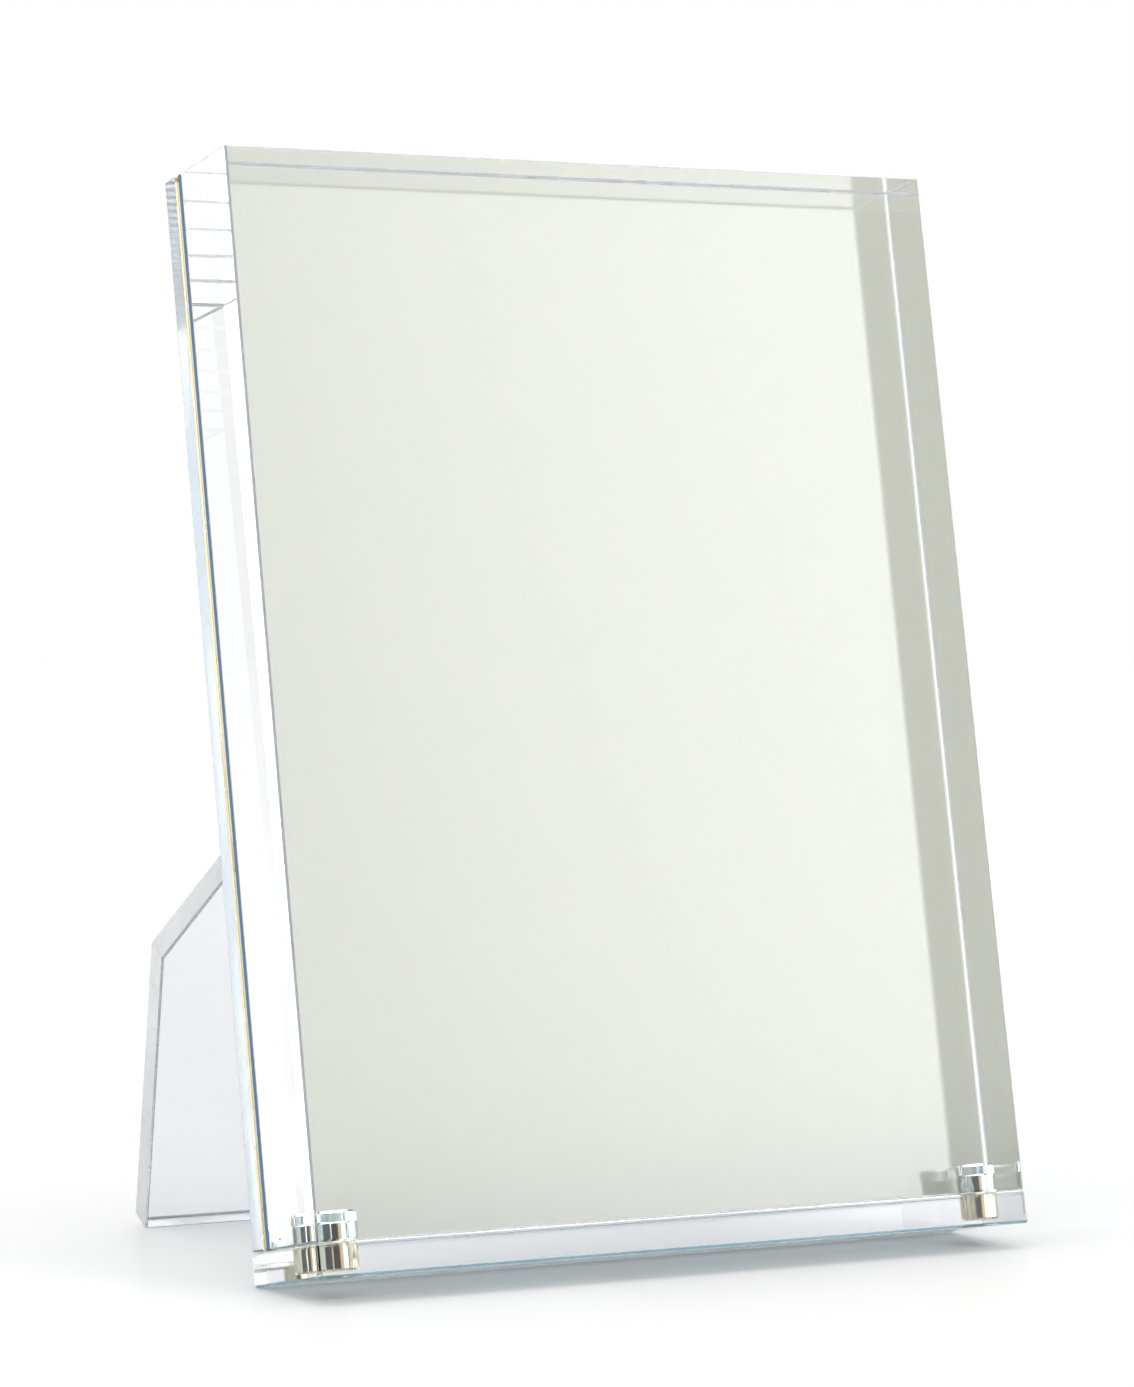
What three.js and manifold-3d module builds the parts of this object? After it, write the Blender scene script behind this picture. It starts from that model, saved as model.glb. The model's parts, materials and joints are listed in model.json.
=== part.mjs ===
// Standing acrylic photo frame for a 6 x 8 inch print.
// A thick clear block stands in front of the print on two metal pins. Behind the print stands
// a thin clear panel on the same ledge, and a sloping clear leg props it all up, leaning back.
// Millimetres. +Z is up, the picture faces -Y and +X is the viewer's right.

import * as THREE from 'three';
import { mergeVertices } from 'three/addons/utils/BufferGeometryUtils.js';
import Module from 'manifold-3d';

const wasm = await Module();
wasm.setup();

// Print that the frame is made for
const PRINT_WIDTH = 152.4;
const PRINT_HEIGHT = 203.2;

// Front block
const BLOCK_SIDE_MARGIN = 0.8;
const BLOCK_TOP_MARGIN = 0.5;
const BLOCK_WIDTH = PRINT_WIDTH + 2 * BLOCK_SIDE_MARGIN;
const BLOCK_HEIGHT = PRINT_HEIGHT + BLOCK_TOP_MARGIN;
const BLOCK_THICKNESS = 20;
const BLOCK_ARRIS = 0.4;

// Back panel, and the space that the print stands in
const PANEL_THICKNESS = 5;
const PANEL_ARRIS = 0.4;
const PRINT_SPACE = 2.5;

// Stiff insert card, which stands close behind the block and fills its face
const CARD_THICKNESS = 1.2;
const CARD_EDGE_MARGIN = 0.15;
const CARD_FRONT_CLEARANCE = 0.45;

// Base ledge under the block and the panel
const SEAT_GAP = 0.1;
const LEDGE_THICKNESS = 6.5;
const LEDGE_PROUD = 0.3;
const LEDGE_ARRIS = 0.6;
const LEDGE_CORNER_RADIUS = 0.8;

// Pins that key the block to the ledge
const PIN_DIAMETER = 8;
const PIN_CHAMFER = 0.3;
const PIN_INSET = 7;
const PIN_STAND = 3.8;
const PIN_SUNK = 5;
const PIN_FIT = 0.15;
const BLOCK_HOLE_CLEARANCE = 0.3;
const BLOCK_HOLE_HEADROOM = 2;

// Stance of the frame, and the leg that props it
const LEAN = THREE.MathUtils.degToRad(10.8);
const LEG_TILT = THREE.MathUtils.degToRad(28.5);
const LEG_THICKNESS = 6;
const LEG_ARRIS = 0.4;
const LEG_FOOT_BACK = 83.9;
const LEG_FOOT_WIDTH = 122.8;
const LEG_SHOULDER_WIDTH = 143.4;
const LEG_SHOULDER_UP = 65;
const LEG_CROWN_WIDTH = 75;
const LEG_GLUE_LINE = 0.1;

// Roundness of the turned and drilled surfaces
const ROUND_SEGMENTS = 96;
const ARRIS_SEGMENTS = 3;

// Sizes that follow from the ones above
const FRAME_DEPTH = BLOCK_THICKNESS + PRINT_SPACE + PANEL_THICKNESS;
const STAND_UP = LEDGE_THICKNESS + SEAT_GAP;
const BLOCK_MID_DEPTH = -FRAME_DEPTH + BLOCK_THICKNESS / 2;
const PIN_HALF_SPACING = BLOCK_WIDTH / 2 - PIN_INSET;
const LEG_TO_PANEL = LEAN + LEG_TILT;
const LEG_REACH = LEG_FOOT_BACK / (Math.sin(LEG_TILT) + Math.cos(LEG_TILT) * Math.tan(LEAN));
const LEG_TOP = LEG_REACH + LEG_THICKNESS / Math.tan(LEG_TO_PANEL) + LEG_THICKNESS;

// Materials

const clearAcrylic = (tint) => new THREE.MeshStandardMaterial({
  color: tint,
  roughness: 0.04,
  metalness: 0,
  transparent: true,
  opacity: 0.35,
});

const blockAcrylic = clearAcrylic('#eef2f1');
const panelAcrylic = clearAcrylic('#e6eef0');
const ledgeAcrylic = clearAcrylic('#e4ecee');
const legAcrylic = clearAcrylic('#e9edef');

const cardStock = new THREE.MeshStandardMaterial({
  color: '#e2e4dc',
  roughness: 0.85,
  metalness: 0,
});

const polishedSteel = () => new THREE.MeshStandardMaterial({
  color: '#cfd0cb',
  roughness: 0.08,
  metalness: 1,
});

// Shapes

/** Turns a closed three.js geometry into a solid that can be cut. */
function toSolid(geometry, placement = new THREE.Matrix4()) {
  const bare = geometry.clone();
  bare.deleteAttribute('normal');
  bare.deleteAttribute('uv');
  bare.applyMatrix4(placement);
  const merged = mergeVertices(bare, 1e-4);
  const mesh = new wasm.Mesh({
    numProp: 3,
    vertProperties: Float32Array.from(merged.attributes.position.array),
    triVerts: Uint32Array.from(merged.index.array),
  });
  return new wasm.Manifold(mesh);
}

/** Turns a cut solid back into a flat-shaded three.js geometry. */
function toGeometry(solid) {
  const cut = solid.getMesh();
  const geometry = new THREE.BufferGeometry();
  geometry.setAttribute('position', new THREE.BufferAttribute(cut.vertProperties, 3));
  geometry.setIndex(new THREE.BufferAttribute(cut.triVerts, 1));
  const flat = geometry.toNonIndexed();
  flat.computeVertexNormals();
  return flat;
}

/** Straight-sided outline through the given corners, mirrored about x = 0. */
function mirroredOutline(rightSide) {
  const leftSide = rightSide.map(([x, y]) => [-x, y]).reverse();
  const corners = [...rightSide, ...leftSide].map(([x, y]) => new THREE.Vector2(x, y));
  return new THREE.Shape(corners);
}

/** Rectangle standing on y = 0 with its four corners clipped. */
function clippedRectangle(width, height, clip) {
  const half = width / 2;
  return mirroredOutline([
    [half - clip, 0],
    [half, clip],
    [half, height - clip],
    [half - clip, height],
  ]);
}

/** Rectangle centred on x = 0 and reaching back from y = 0, with round corners. */
function roundedRectangle(width, depth, radius) {
  const half = width / 2;
  const outline = new THREE.Shape();
  outline.absarc(half - radius, radius, radius, -Math.PI / 2, 0);
  outline.absarc(half - radius, depth - radius, radius, 0, Math.PI / 2);
  outline.absarc(-half + radius, depth - radius, radius, Math.PI / 2, Math.PI);
  outline.absarc(-half + radius, radius, radius, Math.PI, 1.5 * Math.PI);
  return outline;
}

/** Sheet cut to an outline and polished: the thickness is true and the edges are eased. */
function polishedSheet(outline, thickness, arris) {
  const geometry = new THREE.ExtrudeGeometry(outline, {
    depth: thickness - 2 * arris,
    bevelThickness: arris,
    bevelSize: arris,
    bevelOffset: -arris,
    bevelSegments: ARRIS_SEGMENTS,
    curveSegments: 6,
  });
  return geometry.translate(0, 0, arris);
}

/** Stands a sheet drawn in x and y upright, its thickness running back from y = 0. */
function standUp(sheet, thickness) {
  return sheet.rotateX(Math.PI / 2).translate(0, thickness, 0);
}

/** Round drilling along z between two heights. */
function drilling(radius, x, y, bottom, top) {
  const bore = new THREE.CylinderGeometry(radius, radius, top - bottom, ROUND_SEGMENTS);
  bore.rotateX(Math.PI / 2);
  bore.translate(x, y, (bottom + top) / 2);
  return toSolid(bore);
}

/** Places of the two pins, at the left and the right. */
const PIN_PLACES = [-PIN_HALF_SPACING, PIN_HALF_SPACING];

/** Clear block with a blind hole over each pin. */
function frontBlock() {
  const outline = clippedRectangle(BLOCK_WIDTH, BLOCK_HEIGHT, BLOCK_ARRIS);
  const sheet = standUp(polishedSheet(outline, BLOCK_THICKNESS, BLOCK_ARRIS), BLOCK_THICKNESS);
  const radius = PIN_DIAMETER / 2 + BLOCK_HOLE_CLEARANCE;
  const roof = PIN_STAND - SEAT_GAP + BLOCK_HOLE_HEADROOM;
  let block = toSolid(sheet);
  for (const x of PIN_PLACES) {
    block = block.subtract(drilling(radius, x, BLOCK_THICKNESS / 2, -BLOCK_ARRIS, roof));
  }
  return toGeometry(block);
}

/** Ledge with a blind socket for each pin, sunk from its top face. */
function baseLedge() {
  const width = BLOCK_WIDTH + 2 * LEDGE_PROUD;
  const depth = FRAME_DEPTH + LEDGE_PROUD;
  const outline = roundedRectangle(width, depth, LEDGE_CORNER_RADIUS);
  const sheet = polishedSheet(outline, LEDGE_THICKNESS, LEDGE_ARRIS);
  const radius = PIN_DIAMETER / 2 + PIN_FIT;
  const floor = LEDGE_THICKNESS - PIN_SUNK - PIN_FIT;
  const socketDepth = LEDGE_PROUD + BLOCK_THICKNESS / 2;
  let ledge = toSolid(sheet);
  for (const x of PIN_PLACES) {
    ledge = ledge.subtract(drilling(radius, x, socketDepth, floor, LEDGE_THICKNESS + LEDGE_ARRIS));
  }
  return toGeometry(ledge);
}

/** Turned pin with both ends chamfered, standing on z = 0. */
function pin() {
  const radius = PIN_DIAMETER / 2;
  const length = PIN_SUNK + PIN_STAND;
  const profile = [
    [0, 0],
    [radius - PIN_CHAMFER, 0],
    [radius, PIN_CHAMFER],
    [radius, length - PIN_CHAMFER],
    [radius - PIN_CHAMFER, length],
    [0, length],
  ].map(([r, z]) => new THREE.Vector2(r, z));
  return new THREE.LatheGeometry(profile, ROUND_SEGMENTS).rotateX(Math.PI / 2);
}

/** Leg: a sheet with sloping sides and shoulders, its top mitred to lie on the panel. */
function easelLeg() {
  const shoulderSlope = (LEG_SHOULDER_WIDTH - LEG_CROWN_WIDTH) / (LEG_REACH - LEG_SHOULDER_UP);
  const topWidth = LEG_CROWN_WIDTH - shoulderSlope * (LEG_TOP - LEG_REACH);
  const outline = mirroredOutline([
    [LEG_FOOT_WIDTH / 2, 0],
    [LEG_SHOULDER_WIDTH / 2, LEG_SHOULDER_UP],
    [topWidth / 2, LEG_TOP],
  ]);
  const sheet = standUp(polishedSheet(outline, LEG_THICKNESS, LEG_ARRIS), LEG_THICKNESS);

  // Everything in front of the panel's rear face is cut off
  const reach = 4 * LEG_THICKNESS;
  const cutter = new THREE.BoxGeometry(LEG_SHOULDER_WIDTH, 2 * reach, 2 * reach);
  cutter.translate(0, LEG_GLUE_LINE - reach, 0);
  const mitre = new THREE.Matrix4().makeRotationX(-LEG_TO_PANEL);
  mitre.setPosition(0, 0, LEG_REACH);
  return toGeometry(toSolid(sheet).subtract(toSolid(cutter, mitre)));
}

// Pieces

const named = (name, geometry, material) => {
  const mesh = new THREE.Mesh(geometry, material);
  mesh.name = name;
  return mesh;
};

// The ledge, and all that stands square on it, measured from its back bottom edge
const leaning = new THREE.Group();
leaning.rotation.x = -LEAN;

const ledge = named('base_ledge', baseLedge(), ledgeAcrylic);
ledge.position.y = -FRAME_DEPTH - LEDGE_PROUD;

const block = named('front_block', frontBlock(), blockAcrylic);
block.position.set(0, -FRAME_DEPTH, STAND_UP);

const panelOutline = clippedRectangle(BLOCK_WIDTH, BLOCK_HEIGHT, PANEL_ARRIS);
const panelSheet = standUp(polishedSheet(panelOutline, PANEL_THICKNESS, PANEL_ARRIS), PANEL_THICKNESS);
const panel = named('back_panel', panelSheet, panelAcrylic);
panel.position.set(0, -PANEL_THICKNESS, STAND_UP);

const cardHeight = BLOCK_HEIGHT - CARD_EDGE_MARGIN;
const cardSheet = new THREE.BoxGeometry(
  BLOCK_WIDTH - 2 * CARD_EDGE_MARGIN,
  CARD_THICKNESS,
  cardHeight,
);
const card = named('insert_card', cardSheet, cardStock);
card.position.set(
  0,
  -FRAME_DEPTH + BLOCK_THICKNESS + CARD_FRONT_CLEARANCE + CARD_THICKNESS / 2,
  STAND_UP + cardHeight / 2,
);

const pins = ['pin_left', 'pin_right'].map((name, side) => {
  const mesh = named(name, pin(), polishedSteel());
  mesh.position.set(PIN_PLACES[side], BLOCK_MID_DEPTH, LEDGE_THICKNESS - PIN_SUNK);
  return mesh;
});

leaning.add(ledge, block, panel, card, ...pins);

// The leg, measured from its front bottom edge
const propped = new THREE.Group();
propped.rotation.x = LEG_TILT;
propped.position.y = LEG_FOOT_BACK;
propped.add(named('easel_leg', easelLeg(), legAcrylic));

/** Lowers a group until its lowest point is on the table. */
function restOnTable(group) {
  group.updateMatrixWorld(true);
  group.position.z -= new THREE.Box3().setFromObject(group, true).min.z;
}

restOnTable(leaning);
restOnTable(propped);

// The origin is the middle of the bounding box's floor
const photoFrame = new THREE.Group();
photoFrame.add(leaning, propped);
photoFrame.updateMatrixWorld(true);
const bounds = new THREE.Box3().setFromObject(photoFrame, true);
const middle = bounds.getCenter(new THREE.Vector3());
photoFrame.position.set(-middle.x, -middle.y, -bounds.min.z);

export default photoFrame;
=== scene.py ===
# Clear acrylic photo frame that stands on a pale table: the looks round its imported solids.
# Metres, +Z up. The picture faces -Y and +X is the viewer's right.
import json
import math

import bmesh
import bpy
from mathutils import Matrix, Vector


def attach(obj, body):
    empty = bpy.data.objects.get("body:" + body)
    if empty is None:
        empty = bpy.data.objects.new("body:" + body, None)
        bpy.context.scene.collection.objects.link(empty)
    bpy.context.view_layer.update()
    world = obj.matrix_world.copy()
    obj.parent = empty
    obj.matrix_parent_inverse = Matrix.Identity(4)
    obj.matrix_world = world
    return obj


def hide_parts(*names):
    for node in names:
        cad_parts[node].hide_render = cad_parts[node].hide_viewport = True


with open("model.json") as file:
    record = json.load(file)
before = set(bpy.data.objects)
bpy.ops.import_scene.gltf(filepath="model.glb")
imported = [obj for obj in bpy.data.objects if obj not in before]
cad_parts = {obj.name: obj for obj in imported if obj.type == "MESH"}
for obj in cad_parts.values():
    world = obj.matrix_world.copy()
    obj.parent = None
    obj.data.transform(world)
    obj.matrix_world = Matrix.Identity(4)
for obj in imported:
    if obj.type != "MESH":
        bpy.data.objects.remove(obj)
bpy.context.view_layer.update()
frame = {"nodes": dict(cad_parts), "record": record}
nodes = frame["nodes"]
scene = bpy.context.scene

# Camera
# It stands to the viewer's left, level with the middle of the block, and looks a little down.
# Place, turn and lens come from a perspective fit to the corners of the frame in the photograph.
CAMERA_PLACE = (-0.45383, -0.82216, 0.13111)
CAMERA_YAW = math.radians(29.232)
CAMERA_PITCH = math.radians(1.396)
CAMERA_LENS_MM = 123.35
CAMERA_SENSOR_MM = 36
CAMERA_SEES_FROM, CAMERA_SEES_TO = 0.05, 40
MOST_BOUNCES = 40
MOST_OF_A_KIND = 32

camera_data = bpy.data.cameras.new("camera")
camera_data.sensor_width = CAMERA_SENSOR_MM
camera_data.lens = CAMERA_LENS_MM
camera_data.clip_start = CAMERA_SEES_FROM
camera_data.clip_end = CAMERA_SEES_TO
camera = bpy.data.objects.new("camera", camera_data)
camera.location = CAMERA_PLACE
camera.rotation_euler = (math.pi / 2 - CAMERA_PITCH, 0, -CAMERA_YAW)
scene.collection.objects.link(camera)
scene.camera = camera
scene.view_settings.view_transform = "Standard"

# Light in a clear block goes round inside it many times before it comes out
scene.cycles.max_bounces = MOST_BOUNCES
scene.cycles.glossy_bounces = MOST_OF_A_KIND
scene.cycles.transmission_bounces = MOST_OF_A_KIND
scene.cycles.transparent_max_bounces = MOST_OF_A_KIND

# Studio surround
# White all round, as for any clear product. One wall of bright softboxes on the right lights up
# the polished faces, and a dark screen on the left, beside the camera, draws the dark lines. The
# screen stands a little apart for red and for blue, as acrylic parts the colours at an edge.

# Degrees round from straight ahead of the picture, or up from the table, and shares of white
SOFTBOX_AZIMUTH = 80
SOFTBOX_FULL, SOFTBOX_ENDS = 42, 63
SOFTBOX_SHINE = 2.3
SCREEN_AZIMUTH = -47
SCREEN_FULL, SCREEN_ENDS = 41, 44
SCREEN_TOP_FULL, SCREEN_TOP_ENDS = 40, 50
COLOUR_PARTING = 5
OVERHEAD_STARTS, OVERHEAD_FULL = 50, 65
OVERHEAD_SHINE = 1.5
SWEEP_AZIMUTH = 180
SWEEP_FULL, SWEEP_ENDS = 60, 85
SWEEP_STARTS, SWEEP_RISES = 4, 15
SWEEP_SHINE = 1.2
ROOM_LIGHT = 0.18


def linear(code):
    """Linear colour of an sRGB hex code such as "#a0b0c0"."""
    channels = [int(code[i : i + 2], 16) / 255 for i in (1, 3, 5)]
    return [c / 12.92 if c <= 0.04045 else ((c + 0.055) / 1.055) ** 2.4 for c in channels] + [1]


def add_node(tree, kind, inputs=None, **settings):
    """Adds a node with its settings, and gives its inputs their values or links."""
    node = tree.nodes.new(kind)
    for name, value in settings.items():
        setattr(node, name, value)
    for name, value in (inputs or {}).items():
        if isinstance(value, bpy.types.NodeSocket):
            tree.links.new(value, node.inputs[name])
        else:
            node.inputs[name].default_value = value
    return node


def wall_of_room(tree, level_direction, azimuth, full, ends):
    """1 where a ray heads for a wall of the room, fading to 0 past its ends."""
    angle = math.radians(azimuth)
    middle = (math.sin(angle), -math.cos(angle), 0)
    near = add_node(
        tree, "ShaderNodeVectorMath", {0: level_direction, 1: middle}, operation="DOT_PRODUCT"
    ).outputs["Value"]
    return add_node(
        tree,
        "ShaderNodeMapRange",
        {
            "Value": near,
            "From Min": math.cos(math.radians(ends)),
            "From Max": math.cos(math.radians(full)),
        },
        interpolation_type="SMOOTHSTEP",
    ).outputs["Result"]


def studio_world():
    """White surround for what is seen, mirrored or refracted, and a plain level for the rest."""
    world = bpy.data.worlds.new("studio")
    world.use_nodes = True
    tree = world.node_tree
    tree.nodes.clear()
    direction = add_node(tree, "ShaderNodeTexCoord").outputs["Generated"]
    flat = add_node(
        tree, "ShaderNodeVectorMath", {0: direction, 1: (1, 1, 0)}, operation="MULTIPLY"
    ).outputs["Vector"]
    level = add_node(
        tree, "ShaderNodeVectorMath", {0: flat}, operation="NORMALIZE"
    ).outputs["Vector"]
    height = add_node(tree, "ShaderNodeSeparateXYZ", {0: direction}).outputs["Z"]
    softbox = wall_of_room(tree, level, SOFTBOX_AZIMUTH, SOFTBOX_FULL, SOFTBOX_ENDS)
    overhead = add_node(
        tree,
        "ShaderNodeMapRange",
        {
            "Value": height,
            "From Min": math.sin(math.radians(OVERHEAD_STARTS)),
            "From Max": math.sin(math.radians(OVERHEAD_FULL)),
        },
        interpolation_type="SMOOTHSTEP",
    ).outputs["Result"]
    above_table = add_node(
        tree,
        "ShaderNodeMapRange",
        {
            "Value": height,
            "From Min": math.sin(math.radians(SWEEP_STARTS)),
            "From Max": math.sin(math.radians(SWEEP_RISES)),
        },
        interpolation_type="SMOOTHSTEP",
    ).outputs["Result"]
    behind = wall_of_room(tree, level, SWEEP_AZIMUTH, SWEEP_FULL, SWEEP_ENDS)
    sweep = add_node(
        tree, "ShaderNodeMath", {0: behind, 1: above_table}, operation="MULTIPLY"
    ).outputs["Value"]
    lit = add_node(
        tree, "ShaderNodeMath", {0: softbox, 1: SOFTBOX_SHINE, 2: 1.0}, operation="MULTIPLY_ADD"
    ).outputs["Value"]
    lit = add_node(
        tree, "ShaderNodeMath", {0: sweep, 1: SWEEP_SHINE, 2: lit}, operation="MULTIPLY_ADD"
    ).outputs["Value"]
    lit = add_node(
        tree, "ShaderNodeMath", {0: overhead, 1: OVERHEAD_SHINE, 2: lit}, operation="MULTIPLY_ADD"
    ).outputs["Value"]
    below_top = add_node(
        tree,
        "ShaderNodeMapRange",
        {
            "Value": height,
            "From Min": math.sin(math.radians(SCREEN_TOP_ENDS)),
            "From Max": math.sin(math.radians(SCREEN_TOP_FULL)),
        },
        interpolation_type="SMOOTHSTEP",
    ).outputs["Result"]
    past_screen = {}
    for colour, side in (("Red", -1), ("Green", 0), ("Blue", 1)):
        azimuth = SCREEN_AZIMUTH + side * COLOUR_PARTING
        screen = wall_of_room(tree, level, azimuth, SCREEN_FULL, SCREEN_ENDS)
        hidden = add_node(
            tree, "ShaderNodeMath", {0: screen, 1: below_top}, operation="MULTIPLY"
        ).outputs["Value"]
        past_screen[colour] = add_node(
            tree, "ShaderNodeMath", {0: 1.0, 1: hidden}, operation="SUBTRACT"
        ).outputs["Value"]
    tinge = add_node(tree, "ShaderNodeCombineColor", past_screen).outputs["Color"]
    path = add_node(tree, "ShaderNodeLightPath")
    bounced = add_node(
        tree,
        "ShaderNodeMath",
        {0: path.outputs["Is Glossy Ray"], 1: path.outputs["Is Transmission Ray"]},
        operation="MAXIMUM",
    ).outputs["Value"]
    seen_in_glass = add_node(
        tree,
        "ShaderNodeMix",
        {"Factor": bounced, "A": ROOM_LIGHT, "B": lit},
        data_type="FLOAT",
    ).outputs["Result"]
    strength = add_node(
        tree,
        "ShaderNodeMix",
        {"Factor": path.outputs["Is Camera Ray"], "A": seen_in_glass, "B": 1.0},
        data_type="FLOAT",
    ).outputs["Result"]
    colour = add_node(
        tree,
        "ShaderNodeMix",
        {"Factor": bounced, "A": linear("#ffffff"), "B": tinge},
        data_type="RGBA",
    ).outputs["Result"]
    background = add_node(tree, "ShaderNodeBackground", {"Color": colour, "Strength": strength})
    add_node(tree, "ShaderNodeOutputWorld", {"Surface": background.outputs["Background"]})
    scene.world = world


studio_world()


def soft_lamp(name, place, aim, side, watts):
    """Square softbox lamp that lights matt surfaces only: the surround holds its reflection."""
    data = bpy.data.lights.new(name, "AREA")
    data.size = side
    data.energy = watts
    lamp = bpy.data.objects.new(name, data)
    lamp.location = place
    lamp.rotation_euler = (Vector(aim) - Vector(place)).to_track_quat("-Z", "Y").to_euler()
    lamp.visible_glossy = False
    lamp.visible_transmission = False
    lamp.visible_camera = False
    scene.collection.objects.link(lamp)


# Each lamp's place and the point it faces in metres, its side in metres and its watts
KEY_PLACE, KEY_AIM = (1.1, -1.8, 0.65), (0, 0, 0.06)
KEY_SIDE, KEY_WATTS = 1.2, 12
FILL_PLACE, FILL_AIM = (-1.5, -0.15, 0.45), (0, 0, 0.1)
FILL_SIDE, FILL_WATTS = 1.0, 7
TOP_LAMP_HEIGHT = 1.3
TOP_PLACE, TOP_AIM = (-0.1, 0, TOP_LAMP_HEIGHT), (0, 0, 0)
TOP_SIDE, TOP_WATTS = 1.6, 14

soft_lamp("key_softbox", KEY_PLACE, KEY_AIM, KEY_SIDE, KEY_WATTS)
soft_lamp("left_fill", FILL_PLACE, FILL_AIM, FILL_SIDE, FILL_WATTS)
soft_lamp("top_softbox", TOP_PLACE, TOP_AIM, TOP_SIDE, TOP_WATTS)

# Table
# A matt white sweep with a slight sheen. It glows where the top lamp falls off, until it is as
# white as the surround, and below the softboxes the acrylic sees it as bright as they are.

# Metres and shares of white. The top lamp's light falls off as the cosine to the fourth power.
TABLE_SIZE = 12
GLOW_FAR = 0.82
TOP_LAMP_SHARE = 0.58
FALL_OFF_POWER = -2.0
LIT_FLOOR_STARTS, LIT_FLOOR_FULL = 0.2, 0.4
LIT_FLOOR_SHINE = 0.8 * SOFTBOX_SHINE
SHUT_OFF_REACH = 0.04
SHUT_OFF_LEAST = 0.6
SHUT_OFF_SAMPLES = 8
SHEEN_SHARE = 0.06
SHEEN_ROUGHNESS = 0.25


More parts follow.
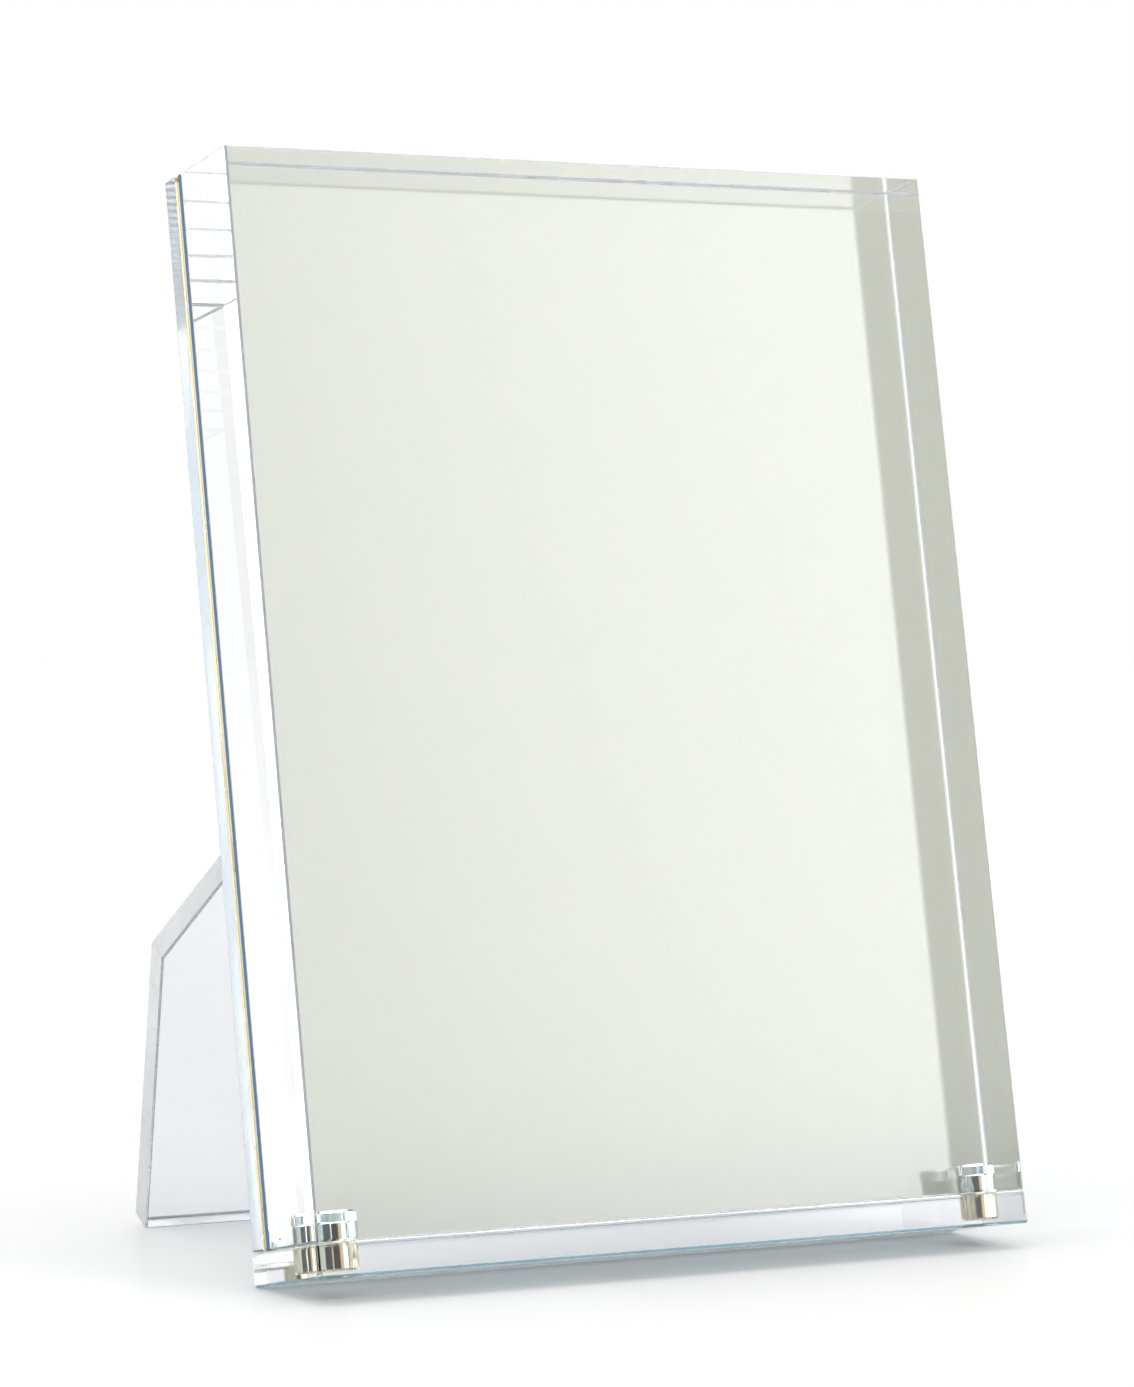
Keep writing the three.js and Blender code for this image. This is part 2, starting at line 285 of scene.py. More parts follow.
def table_top():
    """Level sweep under the frame, its glow dimmed with painted contact shade near the frame."""
    data = bpy.data.meshes.new("table")
    half = TABLE_SIZE / 2
    corners = [(-half, -half, 0), (half, -half, 0), (half, half, 0), (-half, half, 0)]
    data.from_pydata(corners, [], [(0, 1, 2, 3)])
    material = bpy.data.materials.new("matt_white_sweep")
    material.use_nodes = True
    tree = material.node_tree
    tree.nodes.clear()
    place = add_node(tree, "ShaderNodeTexCoord").outputs["Object"]
    distance = add_node(
        tree, "ShaderNodeVectorMath", {0: place}, operation="LENGTH"
    ).outputs["Value"]
    towards = add_node(
        tree, "ShaderNodeVectorMath", {0: place}, operation="NORMALIZE"
    ).outputs["Vector"]
    slant = add_node(
        tree, "ShaderNodeMath", {0: distance, 1: TOP_LAMP_HEIGHT}, operation="DIVIDE"
    ).outputs["Value"]
    spread = add_node(
        tree, "ShaderNodeMath", {0: slant, 1: slant, 2: 1.0}, operation="MULTIPLY_ADD"
    ).outputs["Value"]
    lamp_falls_off = add_node(
        tree, "ShaderNodeMath", {0: spread, 1: FALL_OFF_POWER}, operation="POWER"
    ).outputs["Value"]
    open_glow = add_node(
        tree,
        "ShaderNodeMath",
        {0: lamp_falls_off, 1: -TOP_LAMP_SHARE, 2: GLOW_FAR},
        operation="MULTIPLY_ADD",
    ).outputs["Value"]
    # Painted contact shade: ambient occlusion dims the glow where the frame stands near the sweep
    open_sky = add_node(
        tree,
        "ShaderNodeAmbientOcclusion",
        {"Distance": SHUT_OFF_REACH},
        samples=SHUT_OFF_SAMPLES,
    )
    openness = add_node(
        tree,
        "ShaderNodeMath",
        {0: open_sky.outputs["AO"], 1: 1 - SHUT_OFF_LEAST, 2: SHUT_OFF_LEAST},
        operation="MULTIPLY_ADD",
    ).outputs["Value"]
    shaded_glow = add_node(
        tree, "ShaderNodeMath", {0: open_glow, 1: openness}, operation="MULTIPLY"
    ).outputs["Value"]
    path = add_node(tree, "ShaderNodeLightPath")
    bounced = add_node(
        tree,
        "ShaderNodeMath",
        {0: path.outputs["Is Glossy Ray"], 1: path.outputs["Is Transmission Ray"]},
        operation="MAXIMUM",
    ).outputs["Value"]
    # Painted light: seen in the acrylic, the sweep shines below the softboxes and goes dark below
    # the screen
    far_enough = add_node(
        tree,
        "ShaderNodeMapRange",
        {"Value": distance, "From Min": LIT_FLOOR_STARTS, "From Max": LIT_FLOOR_FULL},
        interpolation_type="SMOOTHSTEP",
    ).outputs["Result"]
    mirrored = add_node(
        tree, "ShaderNodeMath", {0: far_enough, 1: bounced}, operation="MULTIPLY"
    ).outputs["Value"]
    softbox = wall_of_room(tree, towards, SOFTBOX_AZIMUTH, SOFTBOX_FULL, SOFTBOX_ENDS)
    lit_floor = add_node(
        tree, "ShaderNodeMath", {0: softbox, 1: mirrored}, operation="MULTIPLY"
    ).outputs["Value"]
    screen = wall_of_room(tree, towards, SCREEN_AZIMUTH, SCREEN_FULL, SCREEN_ENDS)
    dark_floor = add_node(
        tree, "ShaderNodeMath", {0: screen, 1: mirrored}, operation="MULTIPLY"
    ).outputs["Value"]
    mirrored_glow = add_node(
        tree,
        "ShaderNodeMath",
        {0: lit_floor, 1: LIT_FLOOR_SHINE, 2: shaded_glow},
        operation="MULTIPLY_ADD",
    ).outputs["Value"]
    not_dark = add_node(
        tree, "ShaderNodeMath", {0: 1.0, 1: dark_floor}, operation="SUBTRACT"
    ).outputs["Value"]
    screened_glow = add_node(
        tree, "ShaderNodeMath", {0: mirrored_glow, 1: not_dark}, operation="MULTIPLY"
    ).outputs["Value"]
    not_matt = add_node(
        tree, "ShaderNodeMath", {0: 1.0, 1: path.outputs["Is Diffuse Ray"]}, operation="SUBTRACT"
    ).outputs["Value"]
    strength = add_node(
        tree, "ShaderNodeMath", {0: screened_glow, 1: not_matt}, operation="MULTIPLY"
    ).outputs["Value"]
    matt = add_node(tree, "ShaderNodeBsdfDiffuse", {"Color": linear("#f0f0f0")})
    glow = add_node(
        tree, "ShaderNodeEmission", {"Color": linear("#ffffff"), "Strength": strength}
    )
    both = add_node(
        tree, "ShaderNodeAddShader", {0: matt.outputs["BSDF"], 1: glow.outputs["Emission"]}
    )
    sheen = add_node(
        tree,
        "ShaderNodeBsdfGlossy",
        {"Color": linear("#ffffff"), "Roughness": SHEEN_ROUGHNESS},
    )
    surface = add_node(
        tree,
        "ShaderNodeMixShader",
        {0: SHEEN_SHARE, 1: both.outputs["Shader"], 2: sheen.outputs["BSDF"]},
    )
    add_node(tree, "ShaderNodeOutputMaterial", {"Surface": surface.outputs["Shader"]})
    data.materials.append(material)
    table = bpy.data.objects.new("table", data)
    scene.collection.objects.link(table)


table_top()

# Front block
# A 20 mm slab of cast acrylic (PMMA), sawn, diamond milled and polished clear on every face, its
# edges eased with a scraper and left satin. It drops over two pins and lifts straight up again,
# and its holes fit the pins closely enough that no gap shows between steel and acrylic.
MM = 0.001
ARRIS = 0.4 * MM
ARRIS_STEPS = 4
CORNER_STEPS = 8
ROUND_STEPS = 128
CRISP_BEND = math.radians(25)
HOLE_CLEARANCE = 0.3 * MM
HOLE_HEADROOM = 2.0 * MM
HOLE_CHAMFER = 0.4 * MM
BORE_STEP = 0.06 * MM
DRILL_RUN_OUT = 1.0 * MM

# Wiping, scraping and drilling leave marks a few hundredths of a millimetre wide, along the cut.
# They are too fine to show, so they are drawn this many millimetres wide along X, Y and Z.
WIPED_MM = (6, 6, 6)
SCRAPED_UPRIGHT_MM = (2, 2, 20)
SCRAPED_TOP_MM = (20, 4, 2)
DRILLED_MM = (1, 1, 9)
MARKS_START, MARKS_FULL = 0.35, 0.65
ACRYLIC_IOR = 1.49
WETTED_IOR = 1.0
CLEAN_HAZE = (0.0, 0.012)
NO_HAZE = (0.0, 0.0)
SATIN_HAZE = (0.25, 0.4)
EDGE_SHADE = "#e4e8ea"
BLOCK_SHADE = "#f4f6f6"

# Finish numbers on a mesh. The first two are the same on every sheet.
FACE, EDGE = 0, 1
BLOCK_BORE, BLOCK_LEFT_EDGE, BLOCK_TOP_EDGE, BLOCK_WETTED = 2, 3, 4, 5

lift = next(j for j in frame["record"]["behaviour"]["joints"] if j["name"] == "block_lift")
UP = Vector(lift["axis"]).normalized()
LEAN = Matrix(((1, 0, 0), (0, UP.z, UP.y), (0, -UP.y, UP.z)))


def upright_box(node):
    """Lowest and highest corners of a CAD node along the frame's own leaning directions."""
    points = [LEAN.transposed() @ vertex.co for vertex in nodes[node].data.vertices]
    lowest = Vector([min(point[axis] for point in points) for axis in range(3)])
    highest = Vector([max(point[axis] for point in points) for axis in range(3)])
    return lowest, highest


def clear_acrylic(name, tint, dull, shade, haze, marks_mm, clear=1.0, ior=ACRYLIC_IOR):
    """Cast acrylic (PMMA). Marks vary its tint and haze, and lamp light leaves it in a shade."""
    material = bpy.data.materials.new(name)
    material.use_nodes = True
    tree = material.node_tree
    tree.nodes.clear()
    place = add_node(tree, "ShaderNodeTexCoord").outputs["Object"]
    spread = add_node(
        tree,
        "ShaderNodeMapping",
        {"Vector": place, "Scale": [1 / (size * MM) for size in marks_mm]},
    ).outputs["Vector"]
    marks = add_node(
        tree, "ShaderNodeTexNoise", {"Vector": spread, "Scale": 1.0, "Detail": 3.0}
    ).outputs["Fac"]
    marks = add_node(
        tree,
        "ShaderNodeMapRange",
        {"Value": marks, "From Min": MARKS_START, "From Max": MARKS_FULL},
    ).outputs["Result"]
    rough = haze[0]
    if haze[1] > haze[0]:
        rough = add_node(
            tree,
            "ShaderNodeMath",
            {0: marks, 1: haze[1] - haze[0], 2: haze[0]},
            operation="MULTIPLY_ADD",
        ).outputs["Value"]
    tone = add_node(
        tree,
        "ShaderNodeMix",
        {"Factor": marks, "A": linear(tint), "B": linear(dull)},
        data_type="RGBA",
    ).outputs["Result"]
    glass = add_node(
        tree,
        "ShaderNodeBsdfPrincipled",
        {"Base Color": tone, "IOR": ior, "Transmission Weight": clear, "Roughness": rough},
    )
    let_through = add_node(tree, "ShaderNodeBsdfTransparent", {"Color": linear(shade)})
    path = add_node(tree, "ShaderNodeLightPath")
    lamp_or_matt = add_node(
        tree,
        "ShaderNodeMath",
        {0: path.outputs["Is Shadow Ray"], 1: path.outputs["Is Diffuse Ray"]},
        operation="MAXIMUM",
    )
    surface = add_node(
        tree,
        "ShaderNodeMixShader",
        {
            0: lamp_or_matt.outputs["Value"],
            1: glass.outputs["BSDF"],
            2: let_through.outputs["BSDF"],
        },
    )
    add_node(tree, "ShaderNodeOutputMaterial", {"Surface": surface.outputs["Shader"]})
    return material


def eased_sheet(name, box, arris, finishes, corner_radius=0.0):
    """Rectangular sheet with every edge rounded over and, where asked, round upright corners."""
    lowest, highest = box
    shape = bmesh.new()
    bmesh.ops.create_cube(shape, size=1)
    for vertex in shape.verts:
        for axis in range(3):
            middle = (lowest[axis] + highest[axis]) / 2
            vertex.co[axis] = middle + vertex.co[axis] * (highest[axis] - lowest[axis])
    edges = shape.edges[:]
    if corner_radius:
        upright = [e for e in shape.edges if abs(e.verts[0].co.z - e.verts[1].co.z) > arris]
        made = bmesh.ops.bevel(
            shape,
            geom=upright,
            offset=corner_radius,
            segments=CORNER_STEPS,
            profile=0.5,
            affect="EDGES",
        )
        for face in made["faces"]:
            face.smooth = True
        edges = [e for e in shape.edges if abs(e.verts[0].co.z - e.verts[1].co.z) < arris]
    made = bmesh.ops.bevel(
        shape,
        geom=edges,
        offset=arris,
        segments=ARRIS_STEPS,
        profile=0.5,
        affect="EDGES",
        material=EDGE,
    )
    for face in made["faces"]:
        face.smooth = True
    bmesh.ops.recalc_face_normals(shape, faces=shape.faces)
    mesh = bpy.data.meshes.new(name)
    shape.to_mesh(mesh)
    shape.free()
    for finish in finishes:
        mesh.materials.append(finish)
    sheet = bpy.data.objects.new(name, mesh)
    scene.collection.objects.link(sheet)
    return sheet


def node_group(name, inputs, output):
    """Empty Geometry Nodes tree with named inputs, given as name and socket kind."""
    tree = bpy.data.node_groups.new(name, "GeometryNodeTree")
    for label, kind in inputs:
        tree.interface.new_socket(label, in_out="INPUT", socket_type=kind)
    tree.interface.new_socket(output, in_out="OUTPUT", socket_type="NodeSocketGeometry")
    return tree


ROUND_INPUTS = [
    (label, "NodeSocketFloat")
    for label in ("Diameter", "Chamfer", "Bottom", "Top", "Half spacing", "Place back")
] + [("Finish", "NodeSocketMaterial")]


def turned_pair_tree():
    """Two upright turned rounds, one each side of the middle, with a chamfer at both ends."""
    tree = node_group("turned_pair", ROUND_INPUTS, "Pair")
    given = add_node(tree, "NodeGroupInput").outputs

    radius = add_node(
        tree, "ShaderNodeMath", {0: given["Diameter"], 1: 2.0}, operation="DIVIDE"
    ).outputs["Value"]
    length = add_node(
        tree, "ShaderNodeMath", {0: given["Top"], 1: given["Bottom"]}, operation="SUBTRACT"
    ).outputs["Value"]
    straight = add_node(
        tree, "ShaderNodeMath", {0: given["Chamfer"], 1: -2.0, 2: length}, operation="MULTIPLY_ADD"
    ).outputs["Value"]
    both_heights = add_node(
        tree, "ShaderNodeMath", {0: given["Top"], 1: given["Bottom"]}, operation="ADD"
    ).outputs["Value"]
    middle = add_node(
        tree, "ShaderNodeMath", {0: both_heights, 1: 2.0}, operation="DIVIDE"
    ).outputs["Value"]
    chamfer_share = add_node(
        tree, "ShaderNodeMath", {0: given["Chamfer"], 1: radius}, operation="DIVIDE"
    ).outputs["Value"]
    end_size = add_node(
        tree, "ShaderNodeMath", {0: 1.0, 1: chamfer_share}, operation="SUBTRACT"
    ).outputs["Value"]
    rod = add_node(
        tree,
        "GeometryNodeMeshCylinder",
        {"Vertices": ROUND_STEPS, "Radius": radius, "Depth": straight},
        fill_type="NGON",
    ).outputs
    both_ends = add_node(
        tree, "FunctionNodeBooleanMath", {0: rod["Top"], 1: rod["Bottom"]}, operation="OR"
    ).outputs[0]
    longer = add_node(
        tree,
        "GeometryNodeExtrudeMesh",
        {"Mesh": rod["Mesh"], "Selection": both_ends, "Offset Scale": given["Chamfer"]},
        mode="FACES",
    ).outputs
    chamfered = add_node(
        tree,
        "GeometryNodeScaleElements",
        {"Geometry": longer["Mesh"], "Selection": longer["Top"], "Scale": end_size},
        domain="FACE",
    ).outputs["Geometry"]
    bend = add_node(tree, "GeometryNodeInputMeshEdgeAngle").outputs["Unsigned Angle"]
    crisp = add_node(
        tree, "FunctionNodeCompare", {"A": bend, "B": CRISP_BEND}, operation="GREATER_THAN"
    ).outputs["Result"]
    smooth = add_node(
        tree, "GeometryNodeSetShadeSmooth", {"Geometry": chamfered, "Shade Smooth": True}
    ).outputs["Geometry"]
    turned = add_node(
        tree,
        "GeometryNodeSetShadeSmooth",
        {"Geometry": smooth, "Selection": crisp, "Shade Smooth": False},
        domain="EDGE",
    ).outputs["Geometry"]
    finished = add_node(
        tree, "GeometryNodeSetMaterial", {"Geometry": turned, "Material": given["Finish"]}
    ).outputs["Geometry"]
    right = add_node(
        tree,
        "ShaderNodeCombineXYZ",
        {"X": given["Half spacing"], "Y": given["Place back"], "Z": middle},
    ).outputs["Vector"]
    left_x = add_node(
        tree, "ShaderNodeMath", {0: given["Half spacing"], 1: -1.0}, operation="MULTIPLY"
    ).outputs["Value"]
    left = add_node(
        tree,
        "ShaderNodeCombineXYZ",
        {"X": left_x, "Y": given["Place back"], "Z": middle},
    ).outputs["Vector"]
    places = add_node(
        tree,
        "GeometryNodeMeshLine",
        {"Count": 2, "Start Location": left, "Offset": right},
        mode="END_POINTS",
    ).outputs["Mesh"]
    stood = add_node(
        tree, "GeometryNodeInstanceOnPoints", {"Points": places, "Instance": finished}
    ).outputs["Instances"]
    real = add_node(tree, "GeometryNodeRealizeInstances", {"Geometry": stood}).outputs["Geometry"]
    add_node(tree, "NodeGroupOutput", {"Pair": real})
    return tree


turned_pair = turned_pair_tree()


def drilled_tree():
    """A sheet with the turned pair cut out of it, which leaves two blind holes."""
    tree = node_group("drilled", [("Sheet", "NodeSocketGeometry"), *ROUND_INPUTS], "Drilled")
    given = add_node(tree, "NodeGroupInput").outputs
    cutters = add_node(tree, "GeometryNodeGroup", node_tree=turned_pair)
    for label, _ in ROUND_INPUTS:
        tree.links.new(given[label], cutters.inputs[label])
    cut = add_node(
        tree,
        "GeometryNodeMeshBoolean",
        {"Mesh 1": given["Sheet"], "Mesh 2": cutters.outputs["Pair"]},
        operation="DIFFERENCE",
        solver="EXACT",
    ).outputs["Mesh"]
    add_node(tree, "NodeGroupOutput", {"Drilled": cut})
    return tree


drilled = drilled_tree()


def run_tree(piece, tree, values):
    """Runs a Geometry Nodes tree on a piece and makes the result its plain mesh."""
    modifier = piece.modifiers.new(tree.name, "NODES")
    modifier.node_group = tree
    for item in tree.interface.items_tree:
        if item.in_out == "INPUT" and item.name in values:
            modifier[item.identifier] = values[item.name]
    graph = bpy.context.evaluated_depsgraph_get()
    made = bpy.data.meshes.new_from_object(piece.evaluated_get(graph))
    piece.modifiers.clear()
    piece.data = made


def lean_back(piece):
    """Turns an upright piece's mesh to the frame's lean, its object staying at the origin."""
    piece.data.transform(LEAN.to_4x4())


pin_box = upright_box("pin_right")
PIN_DIAMETER = pin_box[1].x - pin_box[0].x
PIN_HALF_SPACING = (pin_box[0].x + pin_box[1].x) / 2
PIN_PLACE_BACK = (pin_box[0].y + pin_box[1].y) / 2
block_box = upright_box("front_block")

block_finishes = [
    # Diamond milled and polished faces, clear as water, with a breath of haze from wiping
    clear_acrylic(
        "polished_cast_acrylic", "#fdfefe", "#fbfdfd", BLOCK_SHADE, CLEAN_HAZE, WIPED_MM
    ),
    # Scraped arrises, satin, which gather the softboxes into white lines
    clear_acrylic(
        "scraped_acrylic_edge", "#ffffff", "#f4f7f9", EDGE_SHADE, (0.15, 0.3), SCRAPED_UPRIGHT_MM
    ),
    # Drilled wall over the pins, faintly teal, as light goes through much acrylic to reach it
    clear_acrylic(
        "drilled_acrylic_wall", "#d6e7ec", "#c5dce4", EDGE_SHADE, (0.0, 0.04), DRILLED_MM
    ),
    # Left arrises, satin and tinted grey as painted shade, which outline the clear side in grey
    clear_acrylic(
        "left_edge_painted_shade", "#aeb8be", "#a0abb1", EDGE_SHADE, SATIN_HAZE, SCRAPED_UPRIGHT_MM, 0.35
    ),
    # Top arrises, half diffuse and tinted pale grey as painted shade, whose images run across the
    # side as level grey lines
    clear_acrylic(
        "top_edge_painted_shade", "#dce5ea", "#d3dde4", EDGE_SHADE, (0.2, 0.35), SCRAPED_TOP_MM, 0.6
    ),
    # Drilled wall close round the steel, which passes light straight, as if there were no gap
    clear_acrylic(
        "wetted_hole_wall", "#e3eff2", "#d3e6ec", EDGE_SHADE, NO_HAZE, DRILLED_MM, ior=WETTED_IOR
    ),
]
clear_block = eased_sheet("clear_block", block_box, ARRIS, block_finishes)
for face in clear_block.data.polygons:
    if face.material_index == EDGE and face.center.x < block_box[0].x + ARRIS:
        face.material_index = BLOCK_LEFT_EDGE
    elif face.material_index == EDGE and face.center.z > block_box[1].z - ARRIS:
        face.material_index = BLOCK_TOP_EDGE
hole = {
    "Diameter": PIN_DIAMETER + 2 * HOLE_CLEARANCE,
    "Chamfer": HOLE_CHAMFER,
    "Bottom": block_box[0].z - DRILL_RUN_OUT,
    "Top": pin_box[1].z + HOLE_CHAMFER,
    "Half spacing": PIN_HALF_SPACING,
    "Place back": PIN_PLACE_BACK,
    "Finish": block_finishes[BLOCK_WETTED],
}
hole_end = {
    **hole,
    "Diameter": hole["Diameter"] + BORE_STEP,
    "Bottom": pin_box[1].z - HOLE_CHAMFER,
    "Top": pin_box[1].z + HOLE_HEADROOM,
    "Finish": block_finishes[BLOCK_BORE],
}
run_tree(clear_block, drilled, hole)
run_tree(clear_block, drilled, hole_end)
lean_back(clear_block)
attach(clear_block, "block")
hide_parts("front_block")

# Back panel
# A 5 mm acrylic sheet of the block's own face size. Its sawn edges are buffed rather than milled,
# so they are paler and hazier. It is glued to the ledge along its foot and carries the leg.
SAWN_MM = (9, 9, 40)
FRINGE_MARKS_MM = (2, 2, 9)
PANEL_SAWN, PANEL_PAINTED_FRINGE = 2, 3
SIDEWAYS = 0.5

panel_box = upright_box("back_panel")
panel_finishes = [
    # Faces as cast between glass sheets: clear and glossy
    clear_acrylic(
        "polished_sheet_panel", "#fbfdfd", "#f8fbfb", "#f2f5f6", CLEAN_HAZE, WIPED_MM
    ),
    # Scraped arrises with scratches, tinted grey-blue as painted shade, which outline the panel in
    # grey
    clear_acrylic(
        "panel_edge_painted_shade", "#9aa6b0", "#8b98a3", EDGE_SHADE, SATIN_HAZE, SCRAPED_UPRIGHT_MM, 0.2
    ),
    # Sawn and buffed edges, hazy and pale blue with the light that runs inside the sheet
    clear_acrylic(
        "sawn_panel_edge", "#ebf2f7", "#d8e6f1", EDGE_SHADE, (0.1, 0.25), SAWN_MM, 0.85
    ),
    # Left front arris, tinted gold as a painted colour fringe, a painted gleam beside the seam
    # where acrylic parts the colours of the bright wall
    clear_acrylic(
        "painted_gold_fringe_edge", "#f0cf7c", "#f6e0a4", EDGE_SHADE, (0.2, 0.3), FRINGE_MARKS_MM, 0.5
    ),
]
clear_panel = eased_sheet("clear_back_panel", panel_box, ARRIS, panel_finishes)
for face in clear_panel.data.polygons:
    at_left = face.center.x < panel_box[0].x + ARRIS
    at_front = face.center.y < panel_box[0].y + ARRIS
    if face.material_index == FACE and abs(face.normal.y) < SIDEWAYS:
        face.material_index = PANEL_SAWN
    elif face.material_index == EDGE and at_left and at_front:
        face.material_index = PANEL_PAINTED_FRINGE
lean_back(clear_panel)
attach(clear_panel, "stand")
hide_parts("back_panel")

# Base ledge
# A 6.5 mm acrylic slab a hair larger than the block, with small round corners and a heavier
# eased edge. Block, print and panel stand on it, and each pin is pressed into a blind socket.
LEDGE_ARRIS = 0.6 * MM
LEDGE_CORNER = 0.8 * MM
SOCKET_CLEARANCE = 0.15 * MM
LEDGE_SHADE = "#d2d8da"
LEDGE_WIPED_MM = (30, 9, 9)
LEDGE_SCRAPED_MM = (20, 2, 2)
LEDGE_SOCKET, LEDGE_TOP_EDGE = 2, 3

ledge_box = upright_box("base_ledge")
ledge_finishes = [
    # Faces as cast, glossy, with a cold lavender cast from the thick sheet behind them
    clear_acrylic(
        "polished_sheet_ledge", "#fafbfe", "#f5f7fb", LEDGE_SHADE, (0.0, 0.02), LEDGE_WIPED_MM
    ),
    # Bottom and upright arrises, satin, tinted teal and darker than the top as painted shade,
    # which draw the teal line along the foot
    clear_acrylic(
        "ledge_edge_painted_shade",
        "#86aebb",
        "#73a0af",
        LEDGE_SHADE,
        (0.12, 0.25),
        LEDGE_SCRAPED_MM,
        0.6,
    ),
    # Socket wall that the pressed pin wets, so that the steel shows through it slightly warm
    clear_acrylic(
        "wetted_socket_wall",
        "#f3f2e6",
        "#eceadb",
        LEDGE_SHADE,
        NO_HAZE,
        DRILLED_MM,
        ior=WETTED_IOR,
    ),
    # Top arrises, the same satin painted paler as painted light, a pale line under the block
    clear_acrylic(
        "ledge_top_edge_painted_light", "#e3eaee", "#d5dfe4", LEDGE_SHADE, (0.12, 0.25), LEDGE_SCRAPED_MM
    ),
]
clear_ledge = eased_sheet("clear_ledge", ledge_box, LEDGE_ARRIS, ledge_finishes, LEDGE_CORNER)
for face in clear_ledge.data.polygons:
    if face.material_index == EDGE and face.center.z > ledge_box[1].z - LEDGE_ARRIS:
        face.material_index = LEDGE_TOP_EDGE
run_tree(
    clear_ledge,
    drilled,
    {
        "Diameter": PIN_DIAMETER + 2 * SOCKET_CLEARANCE,
        "Chamfer": HOLE_CHAMFER,
        "Bottom": pin_box[0].z - SOCKET_CLEARANCE,
        "Top": ledge_box[1].z + DRILL_RUN_OUT,
        "Half spacing": PIN_HALF_SPACING,
        "Place back": PIN_PLACE_BACK,
        "Finish": ledge_finishes[LEDGE_SOCKET],
    },
)
lean_back(clear_ledge)
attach(clear_ledge, "stand")
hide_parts("base_ledge")

# Easel leg
# A 6 mm acrylic plate with sloping sides and shoulders, its top mitred and glued to the panel's
# rear. Its edges are sawn and buffed, and its foot is cut square, so it stands on a front edge.
LEAST_EDGE_AREA = 60 * MM * MM
MERGE_REACH = 0.001 * MM
FLAT_WITHIN = math.radians(0.5)
SAME_WAY = 0.999
FACES_DOWN = -0.5
LEG_WIPED_MM = (40, 40, 40)
LEG_SAWN_MM = (9, 9, 9)
LEG_SCRAPED_MM = (2, 2, 2)
LEG_SAWN, LEG_FOOT = 2, 3


def clear_leg_mesh():
    """The leg's solid with its faces told apart: broad face, eased edge, sawn edge or foot."""
    shape = bmesh.new()
    shape.from_mesh(nodes["easel_leg"].data)
    bmesh.ops.remove_doubles(shape, verts=shape.verts, dist=MERGE_REACH)
    bmesh.ops.dissolve_limit(
        shape, angle_limit=FLAT_WITHIN, verts=shape.verts, edges=shape.edges
    )
    broad = max(shape.faces, key=lambda face: face.calc_area()).normal.copy()
    for face in shape.faces:
        if abs(face.normal.dot(broad)) > SAME_WAY:
            face.material_index = FACE
        elif face.normal.z < FACES_DOWN and face.calc_area() > LEAST_EDGE_AREA:
            face.material_index = LEG_FOOT
        elif face.calc_area() < LEAST_EDGE_AREA:
            face.material_index = EDGE
        else:
            face.material_index = LEG_SAWN
        face.smooth = face.material_index == EDGE
    mesh = bpy.data.meshes.new("clear_leg")
    shape.to_mesh(mesh)
    shape.free()
    return mesh


leg_finishes = [
    # Faces as cast, a little grey against the white table
    clear_acrylic(
        "polished_sheet_leg", "#edeff1", "#e8eaed", "#e9ecee", (0.0, 0.015), LEG_WIPED_MM
    ),
    # Scraped arrises, satin and tinted grey as painted shade, which outline each edge in grey
    clear_acrylic(
        "leg_edge_painted_shade", "#bcc5cb", "#a9b3ba", EDGE_SHADE, SATIN_HAZE, LEG_SCRAPED_MM, 0.3
    ),
    # Sawn and buffed edges, frosted and paler than the faces
    clear_acrylic(
        "sawn_leg_edge", "#f8fafb", "#e8ecef", EDGE_SHADE, (0.12, 0.3), LEG_SAWN_MM, 0.3
    ),
    # Foot, made nearly opaque and grey as painted shade, which shows through the leg as a grey
    # strip
    clear_acrylic(
        "foot_face_painted_shade", "#b1b9be", "#a5aeb4", "#d9dee0", SATIN_HAZE, LEG_SAWN_MM, 0.15
    ),
]
leg_mesh = clear_leg_mesh()
for finish in leg_finishes:
    leg_mesh.materials.append(finish)
clear_leg = bpy.data.objects.new("clear_leg", leg_mesh)
scene.collection.objects.link(clear_leg)
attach(clear_leg, "stand")
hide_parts("easel_leg")

# Insert card
# A stiff card of blue-grey board, 1.2 mm thick, faced with pale grey-green coated paper and cut
# to the block's face. It stands loose on the ledge close behind the block, as a print does.
# Paper fibres are about 0.03 mm wide, and are drawn 0.5 mm apart so that they show.
CARD_FIBRE_MM = 0.5
CARD_COAT_IOR = 1.8
CARD_COAT_ROUGHNESS = 0.02
CARD_CUT_EDGE = 0.08 * MM


def paper(name, dark, light, roughness, coat, relief_mm):
    """Paper stock mottled by its fibres. A coated one has a thin glossy coat over them."""
    material = bpy.data.materials.new(name)
    material.use_nodes = True
    tree = material.node_tree
    tree.nodes.clear()
    place = add_node(tree, "ShaderNodeTexCoord").outputs["Object"]
    fibres = add_node(
        tree,
        "ShaderNodeTexNoise",
        {"Vector": place, "Scale": 1000 / CARD_FIBRE_MM, "Detail": 3.0},
    ).outputs["Fac"]
    tone = add_node(
        tree,
        "ShaderNodeMix",
        {"Factor": fibres, "A": linear(dark), "B": linear(light)},
        data_type="RGBA",
    ).outputs["Result"]
    bump = add_node(tree, "ShaderNodeBump", {"Height": fibres, "Distance": relief_mm * MM})
    stock = add_node(
        tree,
        "ShaderNodeBsdfPrincipled",
        {
            "Base Color": tone,
            "Roughness": roughness,
            "Coat Weight": coat,
            "Coat IOR": CARD_COAT_IOR,
            "Coat Roughness": CARD_COAT_ROUGHNESS,
            "Normal": bump.outputs["Normal"],
        },
    )
    add_node(tree, "ShaderNodeOutputMaterial", {"Surface": stock.outputs["BSDF"]})
    return material


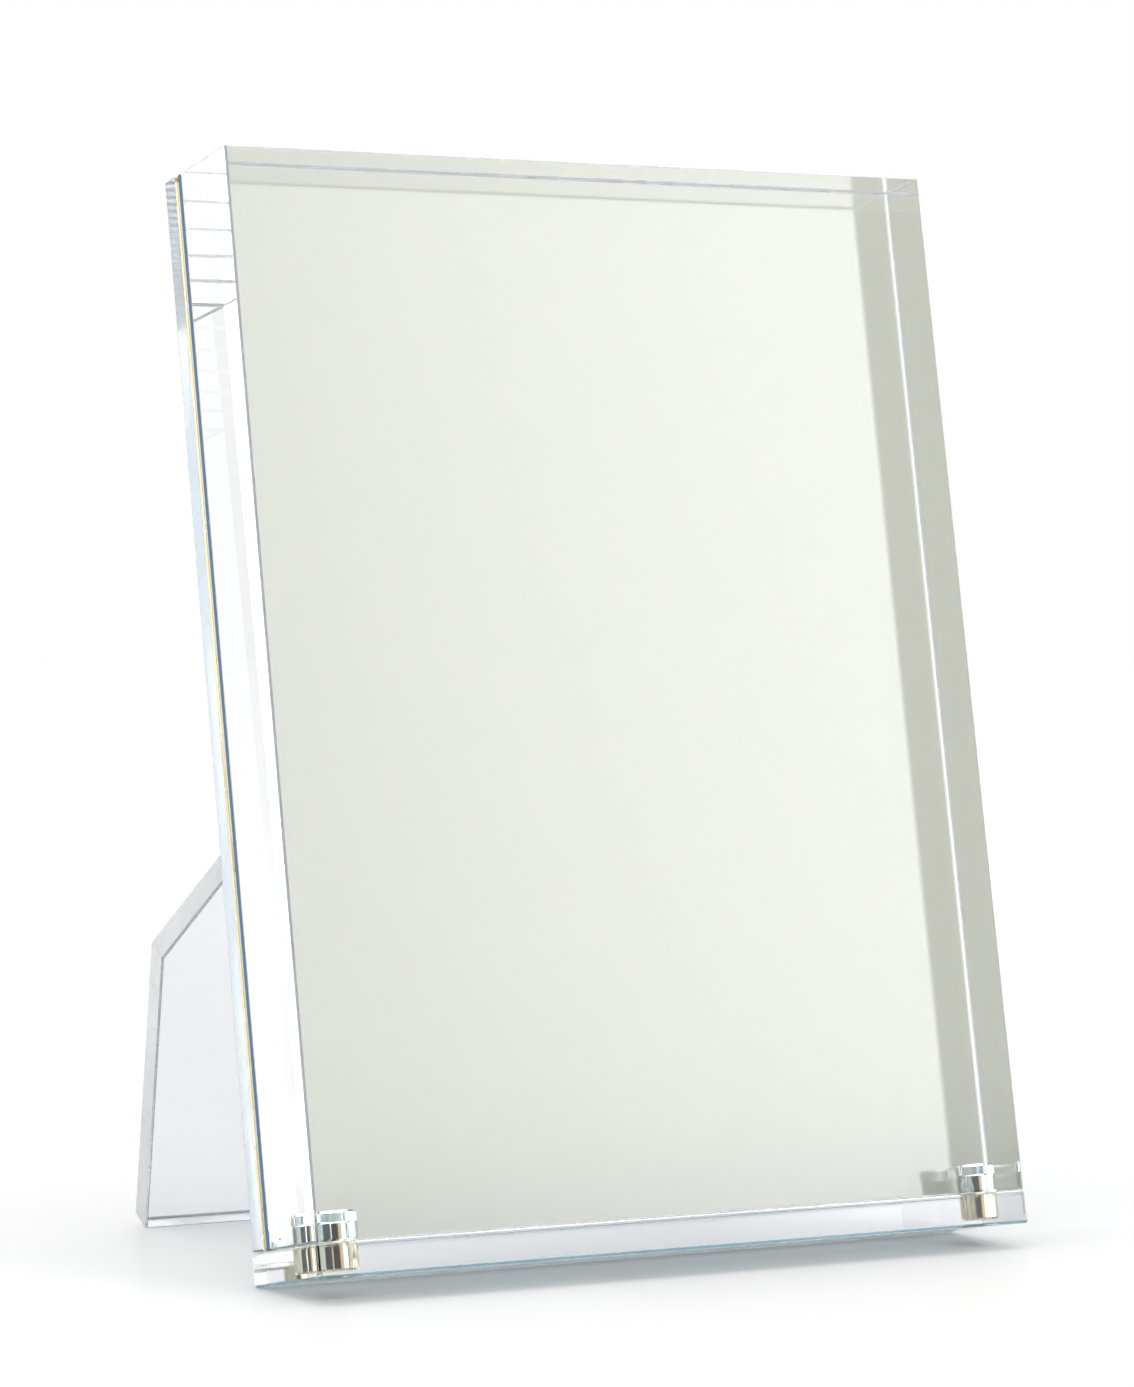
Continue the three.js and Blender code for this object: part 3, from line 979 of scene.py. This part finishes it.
card_finishes = [
    # Coated face, pale grey-green, flat and even, with a faint mirror of the bright wall
    paper("coated_card_face", "#e3e1d1", "#e7e5d7", 0.6, 1.0, 0.0002),
    # Cut board, matt and fibrous, its blue-grey partly the board's own and partly painted shade,
    # which shows as the dark blue-grey line in the seam
    paper("board_core_and_painted_shade", "#5f7b9a", "#6f8baa", 0.85, 0.0, 0.02),
]
print_card = eased_sheet("print_card", upright_box("insert_card"), CARD_CUT_EDGE, card_finishes)
for face in print_card.data.polygons:
    if abs(face.normal.y) < SIDEWAYS:
        face.material_index = EDGE
lean_back(print_card)
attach(print_card, "card")
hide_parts("insert_card")

# Pins
# Two 8 mm stainless steel dowels, turned, chamfered at both ends and polished bright. They are
# pressed into the ledge and stand up into the block's holes, which keeps the block in its place.
# Polishing leaves lines about 0.01 mm apart, and they are drawn 0.25 mm apart so that they show.
PIN_CHAMFER = 0.3 * MM
POLISH_LINES_MM = 0.25
LINES_START, LINES_FULL = 0.3, 0.7
STEEL_SMOOTHEST, STEEL_ROUGHEST = 0.015, 0.05


def polished_steel():
    """Stainless steel, turned and mopped: a bright, slightly warm mirror, faintly uneven."""
    material = bpy.data.materials.new("polished_stainless_steel")
    material.use_nodes = True
    tree = material.node_tree
    tree.nodes.clear()
    place = add_node(tree, "ShaderNodeTexCoord").outputs["Object"]
    lines = add_node(
        tree,
        "ShaderNodeTexNoise",
        {"Vector": place, "Scale": 1000 / POLISH_LINES_MM, "Detail": 1.0},
    ).outputs["Fac"]
    rough = add_node(
        tree,
        "ShaderNodeMapRange",
        {
            "Value": lines,
            "From Min": LINES_START,
            "From Max": LINES_FULL,
            "To Min": STEEL_SMOOTHEST,
            "To Max": STEEL_ROUGHEST,
        },
    ).outputs["Result"]
    steel = add_node(
        tree,
        "ShaderNodeBsdfPrincipled",
        {"Base Color": linear("#cfccbe"), "Metallic": 1.0, "Roughness": rough},
    )
    add_node(tree, "ShaderNodeOutputMaterial", {"Surface": steel.outputs["BSDF"]})
    return material


pins = bpy.data.objects.new("turned_pins", bpy.data.meshes.new("turned_pins"))
scene.collection.objects.link(pins)
run_tree(
    pins,
    turned_pair,
    {
        "Diameter": PIN_DIAMETER,
        "Chamfer": PIN_CHAMFER,
        "Bottom": pin_box[0].z,
        "Top": pin_box[1].z,
        "Half spacing": PIN_HALF_SPACING,
        "Place back": PIN_PLACE_BACK,
        "Finish": polished_steel(),
    },
)
lean_back(pins)
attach(pins, "stand")
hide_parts("pin_left", "pin_right")
